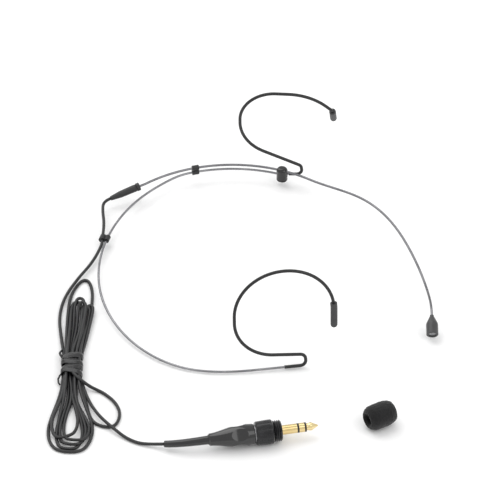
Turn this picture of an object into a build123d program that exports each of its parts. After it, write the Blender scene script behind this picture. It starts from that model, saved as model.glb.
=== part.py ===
from build123d import *
import math
import os

# Headset microphone: neckband of spring wire, two ear hooks, a sliding boom
# with a small condenser capsule, a thin cable with a locking 3.5 mm plug,
# and a loose foam windscreen. Millimetres. +X is the wearer's front, +Y the
# wearer's left (the boom's side) and +Z is up. The headset lies on a table
# at Z = 0, with the origin under the middle of it.

# ---- driving dimensions -------------------------------------------------

# neckband
WIRE_D = 0.9                # spring wire of the neckband and the hooks' cores
BAND_TILT = 1.9             # degrees that the neckband's plane rises to +Y
BAND_Z = 2.37               # height of that plane over the origin
ARC_CENTRE_X = -13.0        # the boom slides on this arc, above the neckband
ARC_CENTRE_Y = 23.5
ARC_R = 54.0
ARC_START_DEG = 108.5       # where the neckband joins the arc, behind the boom's clip
NEAR_END = (9.9, -38.5)     # end of the neckband inside the near hook's tube
NEAR_SEAT = 3.5             # length of it inside the tube
NEAR_STRAIGHT = 14.0        # straight run that ends there
NEAR_YAW = 8.5              # degrees from +X
BAND_POINTS = [(-30.3, -39.6), (-46.0, -29.5), (-57.2, -13.5), (-62.8, 4.5), (-63.2, 23.0),
               (-57.9, 43.5), (-49.0, 58.9), (-40.0, 68.3)]

# boom
BOOM_D = 0.95               # bendable steel tube
BOOM_BORE_D = 0.5
SIGNAL_D = 0.4              # screened pair inside the boom
PAIR_RISE = 2.05            # boom's axis over the neckband's axis
TAIL_START_DEG = 128.5      # arc angle where the boom leaves the arc at the gland
TAIL_END_DEG = 56.0         # and where it leaves the arc in front of the clamp
BOOM_POINTS = [(36.0, 56.6, 6.9), (54.2, 25.4, 6.6), (60.7, -2.8, 6.5)]
CAPSULE_NECK = (61.5, -15.3, 6.3)
CAPSULE_PITCH = 22.0        # degrees that the capsule points down, towards -Y

# capsule
CAPSULE_D = 4.5
CAPSULE_LEN = 8.2
CAPSULE_WALL = 0.35
NECK_D = 1.5
OGIVE_LEN = 4.2
LIP_D = 2.9                 # opening in the rim that is rolled over the grille
BOOM_SEAT = 1.4             # depth of the boom's end in the capsule's neck
GRILLE_T = 0.3
GRILLE_SET = 0.35           # grille's face behind the rim's front
GRILLE_PITCH = 0.62         # spacing of its rings of holes
GRILLE_HOLE_D = 0.32
ELECTRET_D = 3.6
ELECTRET_LEN = 2.4
ELECTRET_WALL = 0.2

# gland at the boom's tail
GLAND_START = (-49.1, 64.15)
GLAND_END = (-60.2, 59.3, 4.2)
GLAND_D = 2.9
GLAND_TIP_D = 1.7
COLLAR_D = 3.2
COLLAR_LEN = 1.2
CRIMP_D = 1.7
CRIMP_LEN = 5.0
GLAND_SEAT = 2.0            # ferrule's back end in the gland
CRIMP_STEP = 3.4            # where its bore widens from the boom to the cable

# clamp and clips
CLAMP_DEG = 68.9            # arc angle of the clamp
CLAMP_LEN = 4.3
CLAMP_W = 4.1
CLAMP_DROP = 2.6            # clamp's foot below the neckband's axis
CLAMP_RISE = 3.4            # clamp's top above the neckband's axis
CLAMP_CAP = 0.9             # height of the separate foot cap
CLAMP_TOP_R = 1.3
CLAMP_FOOT_R = 0.6
SCREW_SET = 0.3             # screw's head inside the foot
HEX_DEPTH = 0.5
BOOM_CLIP_DEG = 105.5
CLIP_LEN = 2.6
CLIP_WALL = 0.62
SCREW_D = 1.4

# ear hooks
TUBE_D = 1.25
HOOK_LEAN = 5.3             # degrees that each hook leans in, towards the head
HOOK_TURN_R = 2.1           # tight turn in front of the mouth
HOOK_TOP_R = 18.3           # bend over the ear
NEAR_HOOK_RADII = [HOOK_TURN_R, HOOK_TURN_R, 15.5, HOOK_TOP_R, HOOK_TOP_R]
FAR_HOOK_RADII = [HOOK_TURN_R, 1.7, 17.0, 13.0, 23.0, 3.0]
NEAR_HOOK = [(0, 0), (8.1, 0.04), (7.7, 4.9), (-18.4, 7.2), (-18.4, 42.3), (18.5, 42.3),
             (18.5, 15.8)]
FAR_HOOK = [(-2.0, 0), (5.5, 0), (4.9, 4.4), (-18.9, 16.8), (-18.9, 42.3), (8.0, 40.8),
            (16.7, 32.8)]
FAR_TIP_TURN = (0.06, 0.62, -0.78)   # direction of the far hook's tip
TIP_LEN = 10.6
TIP_LAP = 1.0               # tube's length inside the tip
TIP_FLOOR = 1.6             # tip's solid end beyond the core
TIP_D = 2.6
FAR_MOUTH_STEP = (2.46, -0.24, 0.53)    # far hook's mouth from the clamp's centre
SOCKET_DEPTH = 2.0

# cable
CABLE_D = 1.2
CABLE_CLIP_AT = (-62.7, 35.2, 3.5)        # cable's centre in its clip
LEAD_POINTS = [GLAND_END, (-63.1, 58.2, 3.65), (-63.1, 51.5, 3.6), (-62.3, 44.4, 3.6), CABLE_CLIP_AT]
DROP_POINTS = [CABLE_CLIP_AT, (-62.9, 30.7, 3.3), (-66.6, 22.4, 1.0), (-71.8, 12.6, 0.7),
               (-77.6, 1.0, 0.7), (-78.1, -10.5, 0.7), (-76.6, -22.5, 1.2)]
SIDE_LOOP = [(-64.6, -48.2, 1.2), (-58.2, -54.6, 0.7), (-53.6, -63.0, 0.7),
             (-54.9, -71.2, 0.7), (-62.3, -72.4, 0.8)]
EXIT_POINTS = [(-62.4, -64.8, 1.6), (-59.9, -68.0, 2.4), (-57.4, -70.8, 2.4), (-53.6, -75.6, 1.0),
               (-47.6, -79.8, 0.7), (-41.4, -82.4, 1.3), (-37.0, -83.7, 2.4)]

# hank of spare cable, held by a wire tie
HANK_H = 3.4
HANK_TOP = (-70.4, -5.0, 4.8)        # centre x, y and radius of the upper bend
HANK_WAIST = (-71.9, -35.0, 3.3)
HANK_WAIST_LOW = (-71.9, -43.8, 3.3)
HANK_LOW = (-71.4, -78.4, 8.7)
HANK_SLOT_W = 3.9
HANK_SLOT = (-57.5, -75.0)           # ends of the lower opening in y
UPPER_SLOT = (-22.0, -7.0)
UPPER_SLOT_W = 2.4
TIE_LEN = 10.6
TIE_GAP = 0.2
TIE_T = 0.7
TIE_TAIL_D = 0.9
TIE_TAIL_LEN = 1.8

# connector
PLUG_YAW = 11.5             # degrees from +X
PLUG_ORIGIN = (-21.4, -83.9, 4.5)    # axis at the back of the boot
RELIEF_D = (2.5, 3.3)       # strain relief at the cable and at the boot
BOOT_LEN = 16.8
BOOT_REAR_D = 4.6
BOOT_D = 8.2
RELIEF_SEAT = 1.2           # strain relief's length inside the boot
CABLE_CRIMP = (3.1, 5.4)    # stations of the ferrule on the cable
CABLE_SEAT = 5.0            # cable's end
BOOT_CAVITY = (6.5, 9.0)    # stations between which the cavity widens to the bore
HOLLOW_R = 11.0             # finger hollows: radius, depth, middle and edge
HOLLOW_DEPTH = 0.75
HOLLOW_BACK = 6.2
HOLLOW_EDGE_R = 1.5
BARREL_WALL = 0.55           # barrel's wall where it sits in the boot
RING_LEN = 6.9
RING_D = 9.0
RING_GAP = 0.05             # running clearance of the lock ring on the barrel
BARREL_D = 6.0
BARREL_SEAT = 4.0           # barrel's length inside the boot
FLANGE_T = 0.4
RETAINER_ID = 4.3
RETAINER_T = 0.5
RETAINER_LIP = 0.4
RETAINER_SET = 1.7          # clip's back face behind the ring's front
THREAD_LEN = 3.0
THREAD_D = 7.8
THREAD_PITCH = 0.75
PLUG_D = 3.5
PLUG_LEN = 14.0
PLUG_SLEEVE_LEN = 6.1
PLUG_RING_LEN = 2.0
INSULATOR_LEN = 0.7
PLUG_WALL = 0.35
TIP_BULB_D = 3.0
TIP_GROOVE_D = 2.6
SLEEVE_STEP = 0.2            # sleeve's radius is smaller by this inside the collar

# windscreen
FOAM_D = 9.6
FOAM_LEN = 11.4
FOAM_BORE_D = 4.3
FOAM_DEPTH = 8.4
FOAM_ROUND_R = 2.9          # closed end's rounding
FOAM_MOUTH_R = 2.1          # open end's rounding
FOAM_AT = (40.8, -70.5)
FOAM_YAW = 30.6

# fits
GRIP = 0.01                 # pieces that are pressed or glued together
RUN = 0.04                  # wires that turn or slide in their bores
END_GAP = 0.3               # free gap between the ends of moving pieces

# ---- frames -------------------------------------------------------------

band_plane = Plane(
    origin=(0, 0, BAND_Z), x_dir=(1, 0, 0),
    z_dir=(0, -math.sin(math.radians(BAND_TILT)), math.cos(math.radians(BAND_TILT))))


def unit(angle):
    """Direction in a plane at an angle in degrees."""
    return math.cos(math.radians(angle)), math.sin(math.radians(angle))


def arc_point(angle, lift=0.0):
    """Point of the slide arc, in the neckband's plane or above it."""
    c, s = unit(angle)
    return band_plane.from_local_coords(
        Vector(ARC_CENTRE_X + ARC_R * c, ARC_CENTRE_Y + ARC_R * s, lift))


def band_direction(x, y):
    """Direction x, y of the neckband's plane."""
    return band_plane.from_local_coords(Vector(x, y, 0)) - band_plane.origin


def arc_forward(angle):
    """Direction of the slide arc towards the wearer's front."""
    c, s = unit(angle)
    return band_direction(s, -c)


def slide_arc(start, end, lift=0.0):
    """Edge of the slide arc between two angles."""
    return ThreePointArc(
        arc_point(start, lift), arc_point((start + end) / 2, lift), arc_point(end, lift))


def band_point(x, y):
    """Point of the neckband's plane above the table point x, y."""
    return band_plane.from_local_coords(Vector(x, y, 0))


def rod(path, radius, bore=0.0):
    """Round rod or tube along a wire."""
    section = Circle(radius)
    if bore:
        section = section - Circle(bore)
    return sweep(Plane(path @ 0, z_dir=path % 0) * section, path=path)


def cord_radii(points):
    """Bend radii of a cord's route, as wide as its runs allow."""
    radii = []
    for a, b, c in zip(points, points[1:], points[2:]):
        before = Vector(b) - Vector(a)
        after = Vector(c) - Vector(b)
        half_turn = math.radians(before.get_angle(after)) / 2
        radii.append(0.45 * min(before.length, after.length) / math.tan(half_turn))
    return radii


def cord(points, name):
    """Cable along a route, with round bends."""
    radii = cord_radii(points)
    print(name, "radii", [round(r, 1) for r in radii])
    path = Wire(FilletPolyline(*points, radius=radii).edges())
    print(name, "length", round(path.length, 1))
    return rod(path, CABLE_D / 2)


def turned(profile, axis_plane):
    """Body of revolution: profile points are (station, radius) along the plane's Z."""
    points = [(r, s) for s, r in profile]
    face = make_face(Polyline(*points, close=True))
    return axis_plane * revolve(Plane.XZ * face, axis=Axis.Z)


# ---- neckband -----------------------------------------------------------

def neckband_path():
    """Straight end at the near side, round the neck, then the slide arc to the clamp."""
    ex, ey = NEAR_END
    c, s = unit(NEAR_YAW)
    end = band_point(ex, ey)
    inner = band_point(ex - NEAR_STRAIGHT * c, ey - NEAR_STRAIGHT * s)
    back = band_direction(-c, -s)
    bend = Spline(
        inner, *[band_point(x, y) for x, y in BAND_POINTS], arc_point(ARC_START_DEG),
        tangents=(back, arc_forward(ARC_START_DEG)), tangent_scalars=(1, 1))
    return Wire([*Line(end, inner).edges(), *bend.edges(),
                 *slide_arc(ARC_START_DEG, CLAMP_DEG).edges()])


def neckband():
    return rod(neckband_path(), WIRE_D / 2)


# ---- clamp and clips ----------------------------------------------------

def clamp_plane():
    """Frame of the clamp: X along the arc, Z up, on the neckband's axis."""
    return Plane(arc_point(CLAMP_DEG), x_dir=arc_forward(CLAMP_DEG), z_dir=band_plane.z_dir)


def clamp_pill():
    """Outer form of the clamp: a tall pill, round in plan."""
    height = CLAMP_RISE + CLAMP_DROP
    pill = extrude(RectangleRounded(CLAMP_LEN, CLAMP_W, CLAMP_W / 2 - 0.1), height)
    pill = fillet(pill.faces().sort_by(Axis.Z)[-1].edges(), CLAMP_TOP_R)
    pill = fillet(pill.faces().sort_by(Axis.Z)[0].edges(), CLAMP_FOOT_R)
    return clamp_plane() * Pos(0, 0, -CLAMP_DROP) * pill


def arc_bore(radius, lift, angle):
    """Tool for a bore along the slide arc."""
    reach = math.degrees(2 * CLAMP_LEN / ARC_R)
    return rod(Wire(slide_arc(angle + reach, angle - reach, lift).edges()), radius)


def far_socket(radius):
    """Tool for the straight bore that holds the far hook's wire."""
    back = far_mouth() - Vector(SOCKET_DEPTH, 0, 0)
    return Plane(back, z_dir=(1, 0, 0)) * extrude(Circle(radius), 2 * SOCKET_DEPTH)


def clamp_half(upper):
    """Clamp above or below the cap's parting line."""
    pill = clamp_pill()
    split = -CLAMP_DROP + CLAMP_CAP
    size = 3 * (CLAMP_RISE + CLAMP_DROP)
    if upper:
        block = Pos(0, 0, split + size / 2) * Box(size, size, size)
    else:
        block = Pos(0, 0, split - GRIP - size / 2) * Box(size, size, size)
    half = pill & (clamp_plane() * block)
    if upper:
        half -= arc_bore(WIRE_D / 2 + GRIP, 0, CLAMP_DEG)
        half -= arc_bore(BOOM_D / 2 + RUN, PAIR_RISE, CLAMP_DEG)
        half -= far_socket(WIRE_D / 2 + RUN)
    half -= clamp_plane() * Pos(0, 0, -CLAMP_DROP - 1) * extrude(
        Circle(SCREW_D / 2 + GRIP), 1 + CLAMP_DROP)
    return half


def clamp_screw():
    """Grub screw from below that presses on the neckband."""
    length = CLAMP_DROP - SCREW_SET - WIRE_D / 2 - 2 * GRIP
    screw = extrude(Circle(SCREW_D / 2), length)
    screw -= extrude(RegularPolygon(SCREW_D / 4, 6), HEX_DEPTH)
    return clamp_plane() * Pos(0, 0, -CLAMP_DROP + SCREW_SET) * screw


def clip_pair(radius_a, radius_b, spacing):
    """Figure-eight clip along X, first lobe at the origin, second above it."""
    outline = Circle(radius_a + CLIP_WALL)
    outline += Pos(0, spacing) * Circle(radius_b + CLIP_WALL)
    outline += Pos(0, spacing / 2) * Rectangle(2 * min(radius_a, radius_b), spacing)
    solid = extrude(outline, CLIP_LEN / 2, both=True)
    return Plane(origin=(0, 0, 0), x_dir=(0, 1, 0), z_dir=(1, 0, 0)) * solid


def clip_upper():
    """Clip that keeps the boom's tail on the neckband and slides along both."""
    body = clip_pair(WIRE_D / 2, BOOM_D / 2, PAIR_RISE)
    place = Plane(arc_point(BOOM_CLIP_DEG), x_dir=arc_forward(BOOM_CLIP_DEG),
                  z_dir=band_plane.z_dir)
    clip = place * body
    clip -= arc_bore(WIRE_D / 2 + RUN, 0, BOOM_CLIP_DEG)
    clip -= arc_bore(BOOM_D / 2 + RUN, PAIR_RISE, BOOM_CLIP_DEG)
    return clip


def clip_cable():
    """Clip that holds the cable beside the neckband."""
    path = neckband_path()
    target = Vector(*CABLE_CLIP_AT)
    steps = [i / 2000 for i in range(2001)]
    nearest = min(steps, key=lambda u: (path.position_at(u) - target).length)
    centre = path.position_at(nearest)
    across = target - centre
    place = Plane(centre, x_dir=across, z_dir=path.tangent_at(nearest))
    lobes = Circle(WIRE_D / 2 + CLIP_WALL)
    lobes += Pos(across.length, 0) * Circle(CABLE_D / 2 + CLIP_WALL)
    lobes += Pos(across.length / 2, 0) * Rectangle(across.length, WIRE_D)
    clip = place * extrude(lobes, CLIP_LEN / 2, both=True)
    clip -= place * extrude(Circle(WIRE_D / 2 + 3 * GRIP), CLIP_LEN, both=True)
    along = Vector(*DROP_POINTS[1]) - Vector(*LEAD_POINTS[-2])
    bore = Plane(target, z_dir=along) * extrude(
        Circle(CABLE_D / 2 + 3 * GRIP), CLIP_LEN, both=True)
    return clip - bore


# ---- ear hooks ----------------------------------------------------------

def hook_plane(mouth, yaw, lean):
    """Upright frame of a hook: X runs forward from its mouth, Y is up."""
    c, s = unit(yaw)
    forward = Vector(c, s, 0)
    up = Vector(0, math.sin(math.radians(lean)), math.cos(math.radians(lean)))
    return Plane(origin=mouth, x_dir=forward, z_dir=forward.cross(up))


def hook_path(plane, outline, radii, tip=None):
    """Centre line of a hook, with an extra straight tip out of its plane."""
    points = [plane.from_local_coords(Vector(x, y, 0)) for x, y in outline]
    if tip:
        points.append(points[-1] + Vector(*tip).normalized() * (TIP_LEN + TIP_LAP))
    return Wire(FilletPolyline(*points, radius=radii).edges())


def near_mouth():
    """Mouth of the near hook's tube, where the neckband goes in."""
    c, s = unit(NEAR_YAW)
    return band_point(NEAR_END[0] - NEAR_SEAT * c, NEAR_END[1] - NEAR_SEAT * s)


def near_path():
    plane = hook_plane(near_mouth(), NEAR_YAW, HOOK_LEAN)
    return hook_path(plane, NEAR_HOOK, NEAR_HOOK_RADII)


def far_mouth():
    """Point where the far hook leaves the clamp."""
    return arc_point(CLAMP_DEG) + Vector(*FAR_MOUTH_STEP)


def far_path():
    plane = hook_plane(far_mouth(), 0.0, -HOOK_LEAN)
    return hook_path(plane, FAR_HOOK, FAR_HOOK_RADII, tip=FAR_TIP_TURN)


def part_of(path, start, end):
    """Stretch of a wire between two lengths along it."""
    return Wire(path.trim(start / path.length, end / path.length).edges())


def hook_core(path, start):
    """Spring wire core, ending inside the tip."""
    return rod(part_of(path, start, path.length - TIP_FLOOR), WIRE_D / 2)


def hook_tube(path, start):
    """Soft rubber tube over the core."""
    end = path.length - TIP_LEN + TIP_LAP
    return rod(part_of(path, start, end), TUBE_D / 2, WIRE_D / 2 + RUN)


def hook_tip(path):
    """Rubber tip: a thicker sleeve with a round closed end."""
    start = path.length - TIP_LEN
    sleeve = rod(part_of(path, start, path.length - TIP_D / 2), TIP_D / 2)
    sleeve += Pos(*path.position_at(1 - TIP_D / 2 / path.length)) * Sphere(TIP_D / 2)
    sleeve -= rod(part_of(path, start, start + TIP_LAP + 2 * GRIP), TUBE_D / 2 + GRIP)
    return sleeve - rod(part_of(path, start, path.length - 1.5), WIRE_D / 2 + GRIP)


# ---- boom and gland -----------------------------------------------------

def capsule_plane():
    """Frame of the capsule: Z from its neck to its front."""
    c, s = unit(CAPSULE_PITCH)
    return Plane(origin=CAPSULE_NECK, x_dir=(1, 0, 0), z_dir=(0, -c, -s))


def gland_plane():
    """Frame of the gland: Z from the boom's end to the cable's end."""
    start = gland_start()
    return Plane(origin=start, z_dir=Vector(*GLAND_END) - start)


def gland_start():
    x, y = GLAND_START
    return band_plane.from_local_coords(Vector(x, y, PAIR_RISE))


def gland_length():
    return (Vector(*GLAND_END) - gland_start()).length


def boom_path():
    """From inside the gland, along the slide arc, round the cheek to the capsule."""
    seat = gland_plane().from_local_coords(Vector(0, 0, 3.0))
    mouth = gland_start()
    out_of_gland = -gland_plane().z_dir
    tail = Spline(mouth, arc_point(TAIL_START_DEG, PAIR_RISE),
                  tangents=(out_of_gland, arc_forward(TAIL_START_DEG)), tangent_scalars=(1, 1))
    arc = slide_arc(TAIL_START_DEG, TAIL_END_DEG, PAIR_RISE)
    neck = capsule_plane().from_local_coords(Vector(0, 0, 0))
    into_neck = capsule_plane().z_dir
    front = Spline(arc_point(TAIL_END_DEG, PAIR_RISE), *BOOM_POINTS, neck,
                   tangents=(arc_forward(TAIL_END_DEG), into_neck), tangent_scalars=(1, 1))
    inside = capsule_plane().from_local_coords(Vector(0, 0, BOOM_SEAT))
    return Wire([*Line(seat, mouth).edges(), *tail.edges(), *arc.edges(), *front.edges(),
                 *Line(neck, inside).edges()])


def boom_tube():
    return rod(boom_path(), BOOM_D / 2, BOOM_BORE_D / 2)


def signal_wire():
    return rod(boom_path(), SIGNAL_D / 2)


def gland():
    """Moulded taper that joins the cable to the boom, with a collar at the boom's end."""
    length = gland_length()
    profile = [(0, 0), (0, COLLAR_D / 2), (COLLAR_LEN, COLLAR_D / 2),
               (COLLAR_LEN + 0.25, GLAND_D / 2 - 0.15), (COLLAR_LEN + 0.6, GLAND_D / 2),
               (0.66 * length, GLAND_D / 2 - 0.1), (length, GLAND_TIP_D / 2), (length, 0)]
    body = turned(profile, gland_plane())
    bore = [(-1, 0), (-1, BOOM_D / 2 + GRIP), (GLAND_SEAT, BOOM_D / 2 + GRIP),
            (GLAND_SEAT, CRIMP_D / 2 + GRIP), (GLAND_SEAT + CRIMP_LEN, CRIMP_D / 2 + GRIP),
            (GLAND_SEAT + CRIMP_LEN, CABLE_D / 2 + GRIP), (length + 1, CABLE_D / 2 + GRIP),
            (length + 1, 0)]
    return body - turned(bore, gland_plane())


def gland_crimp():
    """Brass ferrule inside the gland that grips the boom and the cable's screen."""
    outer = CRIMP_D / 2
    back = GLAND_SEAT + GRIP
    front = GLAND_SEAT + CRIMP_LEN - GRIP
    profile = [(back, BOOM_D / 2 + GRIP), (back, outer), (front, outer),
               (front, CABLE_D / 2 + GRIP), (CRIMP_STEP, CABLE_D / 2 + GRIP),
               (CRIMP_STEP, BOOM_D / 2 + GRIP)]
    return turned(profile, gland_plane())


def gland_cable():
    """Cable's end inside the gland."""
    start = CRIMP_STEP + 0.2
    end = gland_length()
    return turned([(start, 0), (start, CABLE_D / 2), (end, CABLE_D / 2), (end, 0)], gland_plane())


# ---- capsule ------------------------------------------------------------

def capsule_housing():
    """Ogive shell whose rim is rolled in over the grille."""
    r = CAPSULE_D / 2
    inner = r - CAPSULE_WALL
    lip = CAPSULE_LEN - GRILLE_SET + GRIP
    outer = make_face([
        *Polyline((0, 0), (NECK_D / 2, 0), (NECK_D / 2, 0.3)).edges(),
        *Spline((NECK_D / 2, 0.3), (0.8 * r, 0.62 * OGIVE_LEN), (r, OGIVE_LEN),
                tangents=((0.5, 1), (0, 1))).edges(),
        *Polyline((r, OGIVE_LEN), (r, CAPSULE_LEN - 0.15), (r - 0.15, CAPSULE_LEN),
                  (0, CAPSULE_LEN), (0, 0)).edges()])
    solid = capsule_plane() * revolve(Plane.XZ * outer, axis=Axis.Z)
    bore = [(-1, 0), (-1, BOOM_D / 2 + GRIP), (BOOM_SEAT + 0.1, BOOM_D / 2 + GRIP),
            (OGIVE_LEN - 0.4, inner), (lip, inner), (lip, LIP_D / 2),
            (CAPSULE_LEN + 1, LIP_D / 2), (CAPSULE_LEN + 1, 0)]
    return solid - turned(bore, capsule_plane())


def capsule_disc(radius, start, thickness):
    return capsule_plane() * Pos(0, 0, start) * extrude(Circle(radius), thickness)


def inner_radius():
    return CAPSULE_D / 2 - CAPSULE_WALL - GRIP


def grille_start():
    return CAPSULE_LEN - GRILLE_SET - GRILLE_T


def front_grille():
    """Perforated disc set in the capsule's mouth."""
    disc = extrude(Circle(inner_radius()), GRILLE_T)
    holes = Sketch()
    for row, count in enumerate((1, 6, 12)):
        spots = PolarLocations(row * GRILLE_PITCH, count) if row else [Location()]
        for spot in spots:
            holes += spot * Circle(GRILLE_HOLE_D / 2)
    disc -= Pos(0, 0, -1) * extrude(holes, 2)
    return capsule_plane() * Pos(0, 0, grille_start()) * disc


def dust_foam():
    """Thin foam disc behind the grille."""
    return capsule_disc(inner_radius() - 0.05, grille_start() - 0.5 - GRIP, 0.5)


def electret_start():
    return grille_start() - 0.5 - 2 * GRIP - ELECTRET_LEN


def electret_can():
    """Metal cup of the electret element, with its sound port to the front."""
    r = ELECTRET_D / 2
    end = electret_start() + ELECTRET_LEN
    profile = [(electret_start(), r - ELECTRET_WALL), (electret_start(), r), (end, r),
               (end, 0.5), (end - ELECTRET_WALL, 0.5),
               (end - ELECTRET_WALL, r - ELECTRET_WALL)]
    return turned(profile, capsule_plane())


def electret_layer(offset, thickness, radius=None):
    radius = radius or ELECTRET_D / 2 - ELECTRET_WALL - GRIP
    return capsule_disc(radius, electret_start() + offset, thickness)


def element_seat():
    """Rubber ring that centres the electret element in the housing."""
    start = electret_start()
    profile = [(start + 0.4, ELECTRET_D / 2 + GRIP), (start + 0.4, inner_radius()),
               (start + 1.6, inner_radius()), (start + 1.6, ELECTRET_D / 2 + GRIP)]
    return turned(profile, capsule_plane())


# ---- hank and tie -------------------------------------------------------

def hull_of(*circles):
    """Flat outline round several circles, each x, y and radius."""
    edges = []
    for x, y, r in circles:
        edges += CenterArc((x, y), r, 0, 360).edges()
    return make_hull(edges)


def hank(top, waist, slot, slot_width):
    """Closed solid of a bundle of turns, with its opening."""
    solid = extrude(hull_of(top, waist), HANK_H)
    x = (top[0] + waist[0]) / 2
    y = (slot[0] + slot[1]) / 2
    length = abs(slot[1] - slot[0])
    solid -= Pos(x, y, -1) * extrude(
        Rot(0, 0, 90) * SlotOverall(length, slot_width), HANK_H + 2)
    return solid


def tie():
    """Wire tie wound round the hank's waist."""
    r = HANK_WAIST[2]
    y = (HANK_WAIST[1] + HANK_WAIST_LOW[1]) / 2
    width = 2 * (r + TIE_GAP)
    outer = RectangleRounded(width + 2 * TIE_T, HANK_H + 2 * TIE_T, 0.6)
    inner = Rectangle(width, HANK_H + 2 * GRIP)
    band = extrude(outer - inner, TIE_LEN / 2, both=True)
    return Pos(HANK_WAIST[0], y, HANK_H / 2 + TIE_T) * Rot(90, 0, 0) * band


def tie_tail(y, rise):
    """Twisted end of the tie."""
    x = HANK_WAIST[0] - HANK_WAIST[2] - TIE_GAP - TIE_T
    start = Vector(x - TIE_TAIL_D / 4, y, HANK_H / 2 + TIE_T)
    return Plane(start, z_dir=(-1, rise, -0.2)) * extrude(Circle(TIE_TAIL_D / 2), TIE_TAIL_LEN)


# ---- connector ----------------------------------------------------------

def plug_plane():
    """Frame of the connector: Z along its axis to the plug's tip."""
    c, s = unit(PLUG_YAW)
    return Plane(origin=PLUG_ORIGIN, x_dir=(s, -c, 0), z_dir=(c, s, 0))


def strain_relief():
    """Soft sleeve that bends down from the boot to the cable."""
    path = relief_path()
    rear, front = RELIEF_D
    sections = []
    for i in range(5):
        radius = (rear + (front - rear) * i / 4) / 2
        sections.append(Plane(path @ (i / 4), z_dir=path % (i / 4)) * Circle(radius))
    return loft(sections) - rod(Wire(path.edges()), CABLE_D / 2 + GRIP)


def relief_path():
    front = plug_plane().from_local_coords(Vector(0, 0, RELIEF_SEAT))
    rear = Vector(*EXIT_POINTS[-1])
    before = rear - Vector(*EXIT_POINTS[-2])
    return Spline(rear, front, tangents=(before.normalized(), plug_plane().z_dir),
                  tangent_scalars=(1, 1))


def relief_cable():
    """Cable inside the sleeve and the boot."""
    path = relief_path()
    end = plug_plane().from_local_coords(Vector(0, 0, CABLE_SEAT))
    return rod(Wire([*path.edges(), *Line(path @ 1, end).edges()]), CABLE_D / 2)


def boot():
    """Moulded grip, narrow at the cable and full behind the lock ring."""
    rear = BOOT_REAR_D / 2
    full = BOOT_D / 2
    face = make_face([
        *Polyline((0, 0), (rear - 0.5, 0), (rear, 0.5)).edges(),
        *Spline((rear, 0.5), (rear + 0.35, 3.6), (full, BOOT_LEN - 4.6),
                (full - 0.15, BOOT_LEN - 2.4), tangents=((0, 1), (-0.15, 1))).edges(),
        *Polyline((full - 0.15, BOOT_LEN - 2.4), (full - 0.35, BOOT_LEN - 0.3),
                  (full - 0.65, BOOT_LEN), (0, BOOT_LEN), (0, 0)).edges()])
    body = revolve(Plane.XZ * face, axis=Axis.Z)
    body = plug_plane() * (body - grip_hollows())
    mouth = RELIEF_D[1] / 2 + 0.15
    floor = RELIEF_SEAT + 2 * GRIP
    cavity = CRIMP_D / 2 + 0.2
    narrow, wide = BOOT_CAVITY
    bore = [(-1, 0), (-1, mouth), (floor, mouth), (floor, CABLE_D / 2 + GRIP),
            (CABLE_CRIMP[0] - 0.1, CABLE_D / 2 + GRIP), (CABLE_CRIMP[0] - 0.1, cavity),
            (narrow, cavity), (wide, boot_bore()), (BOOT_LEN + 1, boot_bore()),
            (BOOT_LEN + 1, 0)]
    return body - turned(bore, plug_plane())


def grip_hollows():
    """Leaf-shaped finger hollows round the boot, in its own frame."""
    tools = []
    for k in range(4):
        tool = Rot(90, 0, 0) * Cylinder(HOLLOW_R, BOOT_D)
        tool = fillet(tool.edges(), HOLLOW_EDGE_R)
        tool = Pos(HOLLOW_R + BOOT_D / 2 - HOLLOW_DEPTH, 0, BOOT_LEN - HOLLOW_BACK) * tool
        tools.append(Rot(0, 0, 45 + 90 * k) * tool)
    return tools


def barrel():
    """Metal barrel fixed in the boot, on which the lock ring turns."""
    r = BARREL_D / 2
    inner = PLUG_D / 2 - SLEEVE_STEP + GRIP
    stem = boot_bore() - GRIP
    front = BOOT_LEN + RING_LEN
    profile = [(BOOT_LEN - BARREL_SEAT, inner), (BOOT_LEN - BARREL_SEAT, stem),
               (BOOT_LEN + GRIP, stem), (BOOT_LEN + GRIP, r + 0.2),
               (BOOT_LEN + FLANGE_T, r + 0.2), (BOOT_LEN + FLANGE_T, bearing_radius()),
               (front - RETAINER_SET - GRIP, bearing_radius()),
               (front - RETAINER_SET - GRIP, RETAINER_ID / 2 - GRIP),
               (front - 1.0, RETAINER_ID / 2 - GRIP), (front - 1.0, inner)]
    return turned(profile, plug_plane())


def bearing_radius():
    """Radius of the barrel where the lock ring turns on it."""
    return BARREL_D / 2 - 0.4


def boot_bore():
    """Radius of the boot's front bore, which grips the barrel."""
    return PLUG_D / 2 + BARREL_WALL


def retainer():
    """Spring clip at the barrel's front that keeps the lock ring on."""
    start = BOOT_LEN + RING_LEN - RETAINER_SET
    outer = bearing_radius() + RETAINER_LIP
    profile = [(start, RETAINER_ID / 2), (start, outer), (start + RETAINER_T, outer),
               (start + RETAINER_T, RETAINER_ID / 2)]
    return turned(profile, plug_plane())


def lock_ring():
    """Knurled ring that turns on the barrel, with a step for the spring clip."""
    start = BOOT_LEN + FLANGE_T + 2 * RING_GAP
    end = BOOT_LEN + RING_LEN
    step = end - RETAINER_SET - 2 * RING_GAP
    r = RING_D / 2
    inner = bearing_radius() + RING_GAP
    wide = bearing_radius() + RETAINER_LIP + 3 * RING_GAP
    profile = [(start, inner), (start, r - 0.5), (start + 0.4, r - 0.15), (end - 0.9, r),
               (end - 0.5, r), (end, r - 0.5), (end, wide), (step, wide), (step, inner)]
    ring = turned(profile, plug_plane())
    groove = 0.28
    tools = []
    for k in range(24):
        tool = Pos(r + 0.08, 0, start + 0.9) * extrude(Circle(groove), end - start - 2.2)
        tools.append(plug_plane() * Rot(0, 0, 15 * k) * tool)
    return ring - tools


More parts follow.
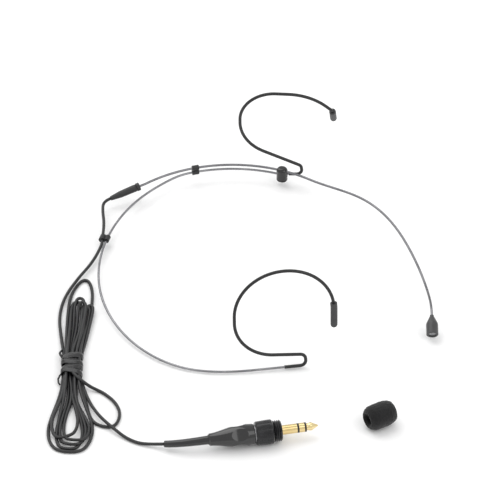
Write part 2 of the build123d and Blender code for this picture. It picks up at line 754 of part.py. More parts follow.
def lock_thread():
    """Threaded collar in front of the lock ring, cut as round grooves."""
    start = BOOT_LEN + RING_LEN + GRIP
    r = THREAD_D / 2
    inner = r - 1.0
    profile = [(start, inner), (start, r - 0.45)]
    crest = start + 0.35
    while crest + THREAD_PITCH < start + THREAD_LEN - 0.1:
        profile += [(crest, r), (crest + 0.5 * THREAD_PITCH, r - 0.3)]
        crest += THREAD_PITCH
    profile += [(crest, r), (start + THREAD_LEN, r - 0.35), (start + THREAD_LEN, inner)]
    return turned(profile, plug_plane())


def plug_base():
    """Station where the exposed plug starts."""
    return BOOT_LEN + RING_LEN + THREAD_LEN - 0.3


def plug_layers():
    """Sleeve, ring and tip contacts with their insulators, nested in one another."""
    base = plug_base()
    rear = BOOT_LEN - BARREL_SEAT
    r = PLUG_D / 2
    end_sleeve = base + PLUG_SLEEVE_LEN
    end_ins_a = end_sleeve + INSULATOR_LEN
    end_ring = end_ins_a + PLUG_RING_LEN
    end_ins_b = end_ring + INSULATOR_LEN
    tip_end = base + PLUG_LEN
    step = PLUG_WALL
    bores = [r - step * (k + 1) for k in range(4)]
    layers = {}
    collar_end = BOOT_LEN + RING_LEN + THREAD_LEN
    stem = r - SLEEVE_STEP
    groove = TIP_GROOVE_D / 2
    bulb = TIP_BULB_D / 2
    layers["plug_sleeve_contact"] = [
        (rear, bores[0] + GRIP), (rear, stem), (collar_end, stem), (collar_end, r),
        (end_sleeve, r), (end_sleeve, bores[0] + GRIP)]
    layers["plug_rear_insulator"] = [
        (rear - 0.6, bores[1] + GRIP), (rear - 0.6, bores[0]), (end_sleeve + GRIP, bores[0]),
        (end_sleeve + GRIP, r), (end_ins_a, r), (end_ins_a, bores[1] + GRIP)]
    layers["plug_ring_contact"] = [
        (rear - 1.6, bores[2] + GRIP), (rear - 1.6, bores[1]), (end_ins_a + GRIP, bores[1]),
        (end_ins_a + GRIP, r), (end_ring, r), (end_ring, bores[2] + GRIP)]
    layers["plug_front_insulator"] = [
        (rear - 2.2, bores[3] + GRIP), (rear - 2.2, bores[2]), (end_ring + GRIP, bores[2]),
        (end_ring + GRIP, r), (end_ins_b, r), (end_ins_b, bores[3] + GRIP)]
    layers["plug_tip_contact"] = [
        (rear - 3.2, 0), (rear - 3.2, bores[3]), (end_ins_b + GRIP, bores[3]),
        (end_ins_b + GRIP, groove), (end_ins_b + 0.6, groove), (end_ins_b + 1.4, bulb),
        (end_ins_b + 2.0, bulb), (tip_end - 0.5, 0.45), (tip_end - 0.1, 0.25), (tip_end, 0)]
    return {name: turned(profile, plug_plane()) for name, profile in layers.items()}


def terminal_disc():
    """Insulating disc behind the barrel that carries the solder tags."""
    start = BOOT_LEN - 6.6
    disc = extrude(Circle(boot_bore() - 0.3), 1.0)
    disc -= Pos(0, 0, -1) * extrude(Circle(PLUG_D / 2 - 2 * PLUG_WALL + GRIP), 3)
    return plug_plane() * Pos(0, 0, start) * disc


def cable_crimp():
    """Metal ferrule that grips the cable inside the boot."""
    rear, front = CABLE_CRIMP
    outer = CRIMP_D / 2 + 0.1
    profile = [(rear, CABLE_D / 2 + GRIP), (rear, outer), (front, outer),
               (front, CABLE_D / 2 + GRIP)]
    return turned(profile, plug_plane())


# ---- windscreen ---------------------------------------------------------

def windscreen():
    """Foam barrel with a blind bore for the capsule."""
    c, s = unit(FOAM_YAW)
    plane = Plane(origin=(*FOAM_AT, FOAM_D / 2), z_dir=(c, s, 0))
    body = extrude(Circle(FOAM_D / 2), FOAM_LEN / 2, both=True)
    body = fillet(body.faces().sort_by(Axis.Z)[-1].edges(), FOAM_ROUND_R)
    body = fillet(body.faces().sort_by(Axis.Z)[0].edges(), FOAM_MOUTH_R)
    bore = Pos(0, 0, -FOAM_LEN / 2 - 1) * extrude(Circle(FOAM_BORE_D / 2), FOAM_DEPTH + 1)
    return plane * (body - bore)


# ---- assembly -----------------------------------------------------------

def build_parts():
    near = near_path()
    far = far_path()
    y_low = HANK_WAIST_LOW[1]
    y_high = HANK_WAIST[1]
    parts = {
        "neckband_wire": neckband(),
        "boom_clamp_body": clamp_half(True),
        "boom_clamp_foot": clamp_half(False),
        "boom_clamp_screw": clamp_screw(),
        "boom_clip": clip_upper(),
        "cable_clip": clip_cable(),
        "near_hook_core": hook_core(near, NEAR_SEAT + END_GAP),
        "near_hook_tube": hook_tube(near, 0.0),
        "near_hook_tip": hook_tip(near),
        "far_hook_core": hook_core(far, 0.0),
        "far_hook_tube": hook_tube(far, SOCKET_DEPTH + END_GAP),
        "far_hook_tip": hook_tip(far),
        "boom_tube": boom_tube(),
        "boom_signal_wire": signal_wire(),
        "gland_sleeve": gland(),
        "gland_crimp": gland_crimp(),
        "gland_cable_end": gland_cable(),
        "capsule_housing": capsule_housing(),
        "capsule_grille": front_grille(),
        "capsule_dust_foam": dust_foam(),
        "electret_can": electret_can(),
        "electret_diaphragm": electret_layer(ELECTRET_LEN - 0.5, 0.05),
        "electret_backplate": electret_layer(ELECTRET_LEN - 1.1, 0.4),
        "electret_board": electret_layer(0.0, 0.4),
        "electret_seat_ring": element_seat(),
        "cable_lead_in": cord(LEAD_POINTS, "cable_lead_in"),
        "cable_drop": cord(DROP_POINTS, "cable_drop"),
        "cable_side_loop": cord(SIDE_LOOP, "cable_side_loop"),
        "cable_exit": cord(EXIT_POINTS, "cable_exit"),
        "hank_upper": Pos(0, 0, TIE_T) * hank(HANK_TOP, HANK_WAIST, UPPER_SLOT, UPPER_SLOT_W),
        "hank_lower": Pos(0, 0, TIE_T) * hank(HANK_LOW, HANK_WAIST_LOW, HANK_SLOT, HANK_SLOT_W),
        "hank_tie": tie(),
        "hank_tie_tail_high": tie_tail(y_high, 0.35),
        "hank_tie_tail_low": tie_tail(y_low, -0.25),
        "strain_relief": strain_relief(),
        "relief_cable": relief_cable(),
        "plug_boot": boot(),
        "plug_barrel": barrel(),
        "plug_retainer": retainer(),
        "plug_cable_crimp": cable_crimp(),
        "plug_terminal_disc": terminal_disc(),
        "lock_ring": lock_ring(),
        "lock_thread": lock_thread(),
        "windscreen_foam": windscreen(),
    }
    parts.update(plug_layers())
    return parts


def main():
    os.makedirs("parts", exist_ok=True)
    for name, solid in build_parts().items():
        export_step(solid, f"parts/{name}.step")
        print(name, round(solid.volume, 2))


main()
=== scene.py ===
import logging
import math
from dataclasses import dataclass, field
from enum import Enum

import bmesh
import bpy
from mathutils import Matrix, Vector, noise


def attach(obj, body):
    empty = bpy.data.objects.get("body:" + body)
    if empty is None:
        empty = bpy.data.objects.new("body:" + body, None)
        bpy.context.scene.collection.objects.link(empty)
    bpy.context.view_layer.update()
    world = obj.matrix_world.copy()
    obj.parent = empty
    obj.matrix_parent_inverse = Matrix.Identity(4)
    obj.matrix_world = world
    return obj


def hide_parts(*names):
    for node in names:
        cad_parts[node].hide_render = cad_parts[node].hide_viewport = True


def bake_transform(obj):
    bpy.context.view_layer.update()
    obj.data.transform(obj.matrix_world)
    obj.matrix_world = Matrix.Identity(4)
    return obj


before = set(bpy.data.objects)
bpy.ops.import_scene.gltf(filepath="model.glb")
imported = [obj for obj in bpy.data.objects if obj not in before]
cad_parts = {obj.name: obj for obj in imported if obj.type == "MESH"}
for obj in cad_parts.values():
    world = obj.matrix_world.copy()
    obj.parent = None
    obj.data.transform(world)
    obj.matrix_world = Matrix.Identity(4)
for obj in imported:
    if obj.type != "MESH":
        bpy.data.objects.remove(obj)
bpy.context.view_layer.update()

LOG = logging.getLogger("headset")
MM = 0.001
Point = tuple[float, float, float]

# A finish's patchy noise stays between these values, which its colours and
# its roughness are spread over.
PATCH_LOW = 0.3
PATCH_HIGH = 0.7
TONE_AT = 0.72
LEAST_ROUGH = 0.02
BUMP_STRENGTH = 0.8
WELD = 1e-6

# Plain parts that the one smooth cable stands for.
CABLE_RUNS = ("cable_lead_in", "cable_drop", "cable_side_loop", "cable_exit",
              "hank_upper", "hank_lower")


# ---- small tools ---------------------------------------------------------

def linear(code: str) -> tuple[float, float, float, float]:
    """Linear colour of an sRGB hex value.

    Args:
        code: six hex digits, with or without a leading mark.

    Returns:
        Red, green and blue in linear light, and an alpha of one.
    """
    digits = code.lstrip("#")
    channels = [int(digits[i:i + 2], 16) / 255 for i in (0, 2, 4)]
    bent = [c / 12.92 if c <= 0.04045 else ((c + 0.055) / 1.055) ** 2.4 for c in channels]
    return (bent[0], bent[1], bent[2], 1.0)


def metres(points: list[Point]) -> list[Vector]:
    """Points in millimetres as vectors in metres."""
    return [Vector(p) * MM for p in points]


def add(tree: bpy.types.NodeTree, kind: str, settings: dict | None = None,
        sockets: dict | None = None) -> bpy.types.Node:
    """One node with its settings, and its sockets filled or linked.

    Args:
        tree: the node tree it goes in.
        kind: the node's type name.
        settings: values of the node's own properties.
        sockets: for an input, a value, or a pair of a node and its output's name.

    Returns:
        The new node.
    """
    made = tree.nodes.new(kind)
    for name, value in (settings or {}).items():
        setattr(made, name, value)
    for name, value in (sockets or {}).items():
        if isinstance(value, tuple) and len(value) == 2 and isinstance(value[0], bpy.types.Node):
            tree.links.new(value[0].outputs[value[1]], made.inputs[name])
        else:
            made.inputs[name].default_value = value
    return made


def new_piece(name: str, mesh: bmesh.types.BMesh, smooth: bool = True) -> bpy.types.Object:
    """Object at the origin from a finished bmesh.

    Args:
        name: the piece's name.
        mesh: the shape, in metres in the shared frame.
        smooth: whether its faces are smooth shaded.

    Returns:
        The linked object.
    """
    bmesh.ops.recalc_face_normals(mesh, faces=mesh.faces)
    data = bpy.data.meshes.new(name)
    mesh.to_mesh(data)
    mesh.free()
    for face in data.polygons:
        face.use_smooth = smooth
    made = bpy.data.objects.new(name, data)
    bpy.context.scene.collection.objects.link(made)
    return made


# ---- finishes ------------------------------------------------------------

class Pattern(Enum):
    """How a finish's fine relief is made."""

    GRAIN = "fine even grain"
    DRAWN = "drawn or turned metal with fine scratches"
    FOAM = "open cells"
    FILM = "smooth"


@dataclass(frozen=True)
class Finish:
    """Surface of one material, with its colour and relief."""

    name: str
    colour: str
    tone: str
    rough: float
    spread: float = 0.06
    metal: float = 0.0
    grain_mm: float = 0.25
    depth_mm: float = 0.004
    patch_mm: float = 5.0
    coat: float = 0.0
    coat_rough: float = 0.1
    sheen: float = 0.0
    pattern: Pattern = Pattern.GRAIN

    def relief(self, tree: bpy.types.NodeTree, place: bpy.types.Node) -> bpy.types.Node:
        """Texture node of the relief, on the piece's own coordinates.

        Args:
            tree: the material's node tree.
            place: its texture coordinate node.

        Returns:
            A node whose first output is the height.
        """
        scale = 1.0 / (self.grain_mm * MM)
        if self.pattern is Pattern.FOAM:
            return add(tree, "ShaderNodeTexVoronoi", {"feature": "F1"},
                       {"Vector": (place, "Object"), "Scale": scale, "Randomness": 1.0})
        detail = 6.0 if self.pattern is Pattern.DRAWN else 3.0
        return add(tree, "ShaderNodeTexNoise", {},
                   {"Vector": (place, "Object"), "Scale": scale, "Detail": detail,
                    "Roughness": 0.6})

    def ramp(self, tree: bpy.types.NodeTree,
             blend: tuple[bpy.types.Node, str]) -> bpy.types.Node:
        """Colour ramp between the finish's two colours.

        Args:
            tree: the material's node tree.
            blend: the node and the name of its output that drives the ramp.

        Returns:
            The ramp's node.
        """
        made = add(tree, "ShaderNodeValToRGB", {}, {"Fac": blend})
        low, high = made.color_ramp.elements
        low.position = PATCH_LOW
        low.color = linear(self.colour)
        high.position = TONE_AT
        high.color = linear(self.tone)
        return made

    def material(self) -> bpy.types.Material:
        """Node material of this finish.

        Returns:
            A new material with the finish's name.
        """
        made = bpy.data.materials.new(self.name)
        made.use_nodes = True
        tree = made.node_tree
        tree.nodes.clear()
        place = add(tree, "ShaderNodeTexCoord")
        patch = add(tree, "ShaderNodeTexNoise", {},
                    {"Vector": (place, "Object"), "Scale": 1.0 / (self.patch_mm * MM),
                     "Detail": 4.0, "Roughness": 0.55})
        height = self.relief(tree, place)
        blend = (patch, "Fac")
        # Foam takes its colour from its cells instead of the patches: darker in each cell's
        # middle, which is painted shade in the open cells' hollows.
        if self.pattern is Pattern.FOAM:
            blend = (height, "Distance")
        mixed = self.ramp(tree, blend)
        rough = add(tree, "ShaderNodeMapRange", {},
                    {"Value": (patch, "Fac"), "From Min": PATCH_LOW, "From Max": PATCH_HIGH,
                     "To Min": max(LEAST_ROUGH, self.rough - self.spread / 2),
                     "To Max": self.rough + self.spread / 2})
        shader = add(tree, "ShaderNodeBsdfPrincipled", {},
                     {"Base Color": (mixed, "Color"), "Metallic": self.metal,
                      "Roughness": (rough, "Result"), "Coat Weight": self.coat,
                      "Coat Roughness": self.coat_rough, "Sheen Weight": self.sheen})
        if self.pattern is not Pattern.FILM:
            first = "Distance" if self.pattern is Pattern.FOAM else "Fac"
            bump = add(tree, "ShaderNodeBump", {"invert": self.pattern is Pattern.FOAM},
                       {"Height": (height, first), "Strength": BUMP_STRENGTH,
                        "Distance": self.depth_mm * MM})
            tree.links.new(bump.outputs["Normal"], shader.inputs["Normal"])
        add(tree, "ShaderNodeOutputMaterial", {}, {"Surface": (shader, "BSDF")})
        return made


# Drawn stainless spring wire, polished: bright, with hair scratches 0.15 mm apart.
SPRING_STEEL = Finish("polished_spring_steel", "7E7E81", "98989B", 0.24, 0.1, metal=1.0,
                      grain_mm=0.15, depth_mm=0.002, patch_mm=6.0, pattern=Pattern.DRAWN)
# Bendable steel tube, nickel plated: a little darker, scratches 0.15 mm apart.
BOOM_STEEL = Finish("plated_boom_tube", "6E6E71", "868689", 0.28, 0.12, metal=1.0,
                    grain_mm=0.15, depth_mm=0.002, patch_mm=5.0, pattern=Pattern.DRAWN)
# Moulded ABS of the clamp, polished tool: near black and glossy.
CLAMP_ABS = Finish("gloss_moulded_abs", "0E0E0F", "161617", 0.16, 0.05,
                   grain_mm=0.3, depth_mm=0.002, coat=0.3, coat_rough=0.08)
# Rubber cap under the clamp: dull, with 0.2 mm moulding grain.
FOOT_RUBBER = Finish("moulded_foot_rubber", "101011", "191919", 0.6, 0.08,
                     grain_mm=0.2, depth_mm=0.006)
# Zinc plated steel screw: grey satin.
SCREW_STEEL = Finish("zinc_plated_screw", "7C7C7E", "939395", 0.35, 0.1, metal=1.0,
                     grain_mm=0.2, depth_mm=0.003, pattern=Pattern.DRAWN)
# Soft clip rubber: satin black.
CLIP_RUBBER = Finish("satin_clip_rubber", "151516", "1E1E1F", 0.45, 0.08,
                     grain_mm=0.2, depth_mm=0.004)
# Extruded rubber tube of the ear hooks: satin black with a long soft highlight.
HOOK_RUBBER = Finish("extruded_hook_rubber", "0F0F10", "181819", 0.42, 0.08,
                     grain_mm=0.18, depth_mm=0.004, patch_mm=3.0)
# Dipped silicone tips: dull grey with dust in the grain.
TIP_RUBBER = Finish("dull_silicone_tip", "343435", "414142", 0.62, 0.08,
                    grain_mm=0.2, depth_mm=0.008, patch_mm=2.0)
# Bare copper wire, drawn: scratches 0.25 mm apart, coarser than real ones.
COPPER = Finish("bare_copper", "B87752", "C98B62", 0.3, 0.1, metal=1.0, pattern=Pattern.DRAWN)
# Moulded nylon gland: satin with a fine spark-eroded grain.
GLAND_NYLON = Finish("satin_gland_nylon", "1B1B1C", "262627", 0.4, 0.08,
                     grain_mm=0.25, depth_mm=0.006)
# Brass ferrules, turned: marks 0.25 mm apart, coarser than real ones.
BRASS = Finish("turned_brass", "B08F4A", "C4A55E", 0.3, 0.1, metal=1.0, pattern=Pattern.DRAWN)
# Extruded PVC cable jacket: charcoal satin, dull streaks 3 mm long, 0.15 mm grain.
CABLE_PVC = Finish("satin_pvc_jacket", "19191A", "242425", 0.42, 0.1,
                   grain_mm=0.15, depth_mm=0.006, patch_mm=3.0)
# Baked satin paint on the capsule's brass shell: dark grey, 0.15 mm orange peel.
CAPSULE_PAINT = Finish("satin_capsule_paint", "363637", "404041", 0.4, 0.08,
                       grain_mm=0.15, depth_mm=0.003, patch_mm=2.5)
# Stainless grille, etched through and dull: 0.12 mm grain.
GRILLE_STEEL = Finish("etched_grille_steel", "A3A3A5", "B8B8BA", 0.34, 0.1, metal=1.0,
                      grain_mm=0.12, depth_mm=0.002, pattern=Pattern.DRAWN)
# Reticulated polyurethane foam, about 0.45 mm cells, deep and dull, with painted shade: its
# colour is darker in each cell's middle.
FOAM = Finish("open_cell_foam", "060607", "141415", 0.95, 0.05, grain_mm=0.45,
              depth_mm=0.25, sheen=0.15, pattern=Pattern.FOAM)
# Aluminium can of the electret element, deep drawn: marks 0.25 mm apart.
CAN_ALUMINIUM = Finish("drawn_aluminium", "C4C4C6", "D2D2D4", 0.3, 0.1, metal=1.0,
                       pattern=Pattern.DRAWN)
# Stretched plastic film of the diaphragm, metallised: mirror smooth.
FILM = Finish("metallised_film", "C9C4B0", "D6D2BE", 0.15, 0.04, metal=1.0,
              pattern=Pattern.FILM)
# Glass-epoxy board under green lacquer: weave of 0.3 mm.
BOARD = Finish("glass_epoxy_board", "1E4A2A", "285A34", 0.4, 0.08, grain_mm=0.3)
# Flat wire tie in glossy PVC, stretched over its wire: 0.4 mm ripples.
TIE_PVC = Finish("gloss_tie_pvc", "1A1A1B", "2E2E2F", 0.24, 0.12, grain_mm=0.4,
                 depth_mm=0.03, patch_mm=1.5)
# Soft gloss PVC of the strain relief.
RELIEF_PVC = Finish("gloss_relief_pvc", "111112", "1A1A1B", 0.22, 0.06, grain_mm=0.3,
                    depth_mm=0.003, coat=0.3, coat_rough=0.1)
# Boot moulded in a polished tool: piano black, faint flow ripple.
BOOT_PVC = Finish("gloss_boot_plastic", "0C0C0D", "131314", 0.14, 0.05, grain_mm=0.6,
                  depth_mm=0.004, coat=0.5, coat_rough=0.05)
# Steel barrel, turned and left bare: marks 0.25 mm apart.
BARREL_STEEL = Finish("turned_barrel_steel", "8A8A8C", "A0A0A2", 0.32, 0.1, metal=1.0,
                      pattern=Pattern.DRAWN)
# Plug's insulating bands, moulded resin: near black, 0.25 mm grain.
INSULATOR = Finish("dark_resin_insulator", "17150F", "201D15", 0.35, 0.06)
# Black chromed lock ring: dark metal, satin, with turning marks 0.12 mm apart.
RING_BLACK = Finish("black_chromed_ring", "1A1A1C", "252527", 0.28, 0.1, metal=0.6,
                    grain_mm=0.12, depth_mm=0.003, patch_mm=2.0, coat=0.3,
                    pattern=Pattern.DRAWN)
# Polished gold plate on the plug's contacts: pale and bright.
GOLD = Finish("polished_gold_plate", "E0C488", "EFDCA8", 0.13, 0.06, metal=1.0,
              grain_mm=0.3, depth_mm=0.0015, pattern=Pattern.DRAWN)

DRESS: dict[Finish, tuple[str, ...]] = {
    SPRING_STEEL: ("neckband_wire", "near_hook_core", "far_hook_core", "plug_retainer"),
    BOOM_STEEL: ("boom_tube",),
    CLAMP_ABS: ("boom_clamp_body",),
    FOOT_RUBBER: ("boom_clamp_foot",),
    SCREW_STEEL: ("boom_clamp_screw",),
    CLIP_RUBBER: ("boom_clip", "cable_clip"),
    HOOK_RUBBER: ("near_hook_tube", "far_hook_tube"),
    TIP_RUBBER: ("near_hook_tip", "far_hook_tip"),
    COPPER: ("boom_signal_wire",),
    GLAND_NYLON: ("gland_sleeve",),
    BRASS: ("gland_crimp", "plug_cable_crimp", "electret_seat_ring"),
    CABLE_PVC: ("gland_cable_end", "relief_cable", "cable_lead_in", "cable_drop",
                "cable_side_loop", "cable_exit", "hank_upper", "hank_lower"),
    CAPSULE_PAINT: ("capsule_housing",),
    GRILLE_STEEL: ("capsule_grille",),
    FOAM: ("capsule_dust_foam", "windscreen_foam"),
    CAN_ALUMINIUM: ("electret_can", "electret_backplate"),
    FILM: ("electret_diaphragm",),
    BOARD: ("electret_board", "plug_terminal_disc"),
    TIE_PVC: ("hank_tie", "hank_tie_tail_high", "hank_tie_tail_low"),
    RELIEF_PVC: ("strain_relief",),
    BOOT_PVC: ("plug_boot",),
    BARREL_STEEL: ("plug_barrel",),
    INSULATOR: ("plug_rear_insulator", "plug_front_insulator"),
    RING_BLACK: ("lock_ring", "lock_thread"),
    GOLD: ("plug_sleeve_contact", "plug_ring_contact", "plug_tip_contact"),
}


class Wardrobe:
    """Materials by finish, made once each."""

    def __init__(self) -> None:
        """Starts with no materials."""
        self.made: dict[str, bpy.types.Material] = {}

    def get(self, finish: Finish) -> bpy.types.Material:
        """Material of a finish, made on first use."""
        if finish.name not in self.made:
            self.made[finish.name] = finish.material()
        return self.made[finish.name]

    def dress(self, piece: bpy.types.Object, finish: Finish) -> None:
        """Puts one finish on a whole piece."""
        material = self.get(finish)
        if not piece.material_slots:
            piece.data.materials.append(material)
        for slot in piece.material_slots:
            slot.link = "OBJECT"
            slot.material = material

    def dress_frame(self) -> None:
        """Dresses every carried-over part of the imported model."""
        for finish, nodes in DRESS.items():
            for name in nodes:
                self.dress(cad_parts[name], finish)
            LOG.info("%s: %s", finish.name, ", ".join(nodes))


# ---- cable ---------------------------------------------------------------

def ease(f: float) -> float:
    """Smooth step of a share between nought and one."""
    f = max(0.0, min(1.0, f))
    return f * f * (3.0 - 2.0 * f)


@dataclass(frozen=True)
class Waist:
    """Where the passes of the cable lie in the tie, in millimetres."""

    left: float = -75.0
    middle: float = -71.4
    pitch: float = 0.6
    tight: float = 0.43
    rows: tuple[float, float, float] = (1.3, 2.4, 3.5)
    back: float = -33.0
    front: float = -45.0

    wide: int = 6

    def at(self, k: int) -> tuple[float, float]:
        """Side place and height of pass k, counted from the left."""
        if k < self.wide:
            x = self.left + self.pitch * k
        else:
            x = self.middle + self.tight * (k - self.wide)
        return x, self.rows[k % len(self.rows)]


WAIST = Waist()


@dataclass(frozen=True)
class LowerBend:
    """One turn's lower bend, from pass `down` to pass `up`, in millimetres."""

    down: int
    up: int
    left: float
    right: float
    bottom: float
    lift: float = 0.65
    over: float = 0.0
    tilt: float = 0.0
    part: float = 0.0
    hug_left: float = 0.0
    hug_right: float = 0.0
    core: float = -71.3
    shares: tuple[float, float, float] = (0.25, 0.5, 0.76)

    def side(self, k: int, belly: float, edge: float, f: float, hug: float) -> Point:
        """Point on one side of the bend.

        Args:
            k: the pass that this side comes from.
            belly: distance along the hank where the bend is widest.
            edge: side place there.
            f: share of the way from the tie to that distance.
            hug: how strongly the side keeps to the hank's middle on the way.

        Returns:
            The point.
        """
        x, z = WAIST.at(k)
        e = ease((f ** 1.25 - self.part) / (1.0 - self.part))
        pull = hug * math.sin(math.pi * min(1.0, f / 0.8)) * (1.0 - e)
        out = x + (edge - x) * e
        y = WAIST.front + (belly - WAIST.front) * f
        return (out + (self.core - out) * pull, y, z + (self.lift - z) * min(1.0, f * 1.25))

    def points(self) -> list[Point]:
        """Route points of the bend.

        Returns:
            Points from the tie, round the bend and back to the tie.
        """
        half = (self.right - self.left) / 2
        mid = (self.left + self.right) / 2
        belly = self.bottom + 0.92 * half + 4.2
        top = WAIST.front
        x, z = WAIST.at(self.down)
        route = [(x, top, z)]
        route += [self.side(self.down, belly, self.left, f, self.hug_left)
                  for f in self.shares]
        route.append((self.left - 0.15, belly, self.lift))
        route.append((self.left + 0.1 * half, self.bottom + 0.55 * half - 0.5 * self.tilt,
                      self.lift + 0.4 * self.over))
        route.append((mid - 0.5 * half, self.bottom + 0.02 * half - self.tilt,
                      self.lift + self.over))
        route.append((mid + 0.45 * half, self.bottom - 0.04 * half + self.tilt,
                      self.lift + self.over))
        route.append((self.right - 0.14 * half, self.bottom + 0.5 * half + 0.5 * self.tilt,
                      self.lift + 0.6 * self.over))
        route.append((self.right + 0.15, belly, self.lift))
        route += [self.side(self.up, belly, self.right, f, self.hug_right)
                  for f in reversed(self.shares)]
        x, z = WAIST.at(self.up)
        route.append((x, top, z))
        return route


@dataclass(frozen=True)
class UpperBend:
    """One turn's upper bend, from pass `up` to pass `down`, in millimetres."""

    up: int
    down: int
    x_up: float
    x_down: float
    top: float
    lift: float
    z_up: float
    z_down: float
    bow: float = 0.55
    bundle_edge: float = -68.2
    shares: tuple[float, float] = (0.3, 0.62)

    def leg(self, k: int, edge: float, height: float, shoulder: float, f: float) -> Point:
        """Point on one leg of the bend.

        Args:
            k: the pass that the leg comes from.
            edge: side place of the leg at the bend.
            height: its height there.
            shoulder: distance along the hank where the bend starts.
            f: share of the way from the tie to the shoulder.

        Returns:
            The point.
        """
        x, z = WAIST.at(k)
        e = ease(f / 0.58) if edge < self.bundle_edge else f ** 0.8
        y = WAIST.back + (shoulder - WAIST.back) * f
        return (x + (edge - x) * e, y, z + (height - z) * f)

    def points(self) -> list[Point]:
        """Route points of the bend.

        Returns:
            Points from the tie, round the bend and back to the tie.
        """
        half = (self.x_up - self.x_down) / 2
        mid = (self.x_up + self.x_down) / 2
        shoulder = self.top - 1.7 * abs(half)
        x, z = WAIST.at(self.up)
        route = [(x, WAIST.back, z)]
        route += [self.leg(self.up, self.x_up, self.z_up, shoulder, f) for f in self.shares]
        route.append((self.x_up, shoulder, self.z_up))
        route.append((mid + self.bow * half, self.top, self.lift))
        route.append((mid - self.bow * half, self.top, self.lift))
        route.append((self.x_down, shoulder, self.z_down))
        route += [self.leg(self.down, self.x_down, self.z_down, shoulder, f)
                  for f in reversed(self.shares)]
        x, z = WAIST.at(self.down)
        route.append((x, WAIST.back, z))
        return route


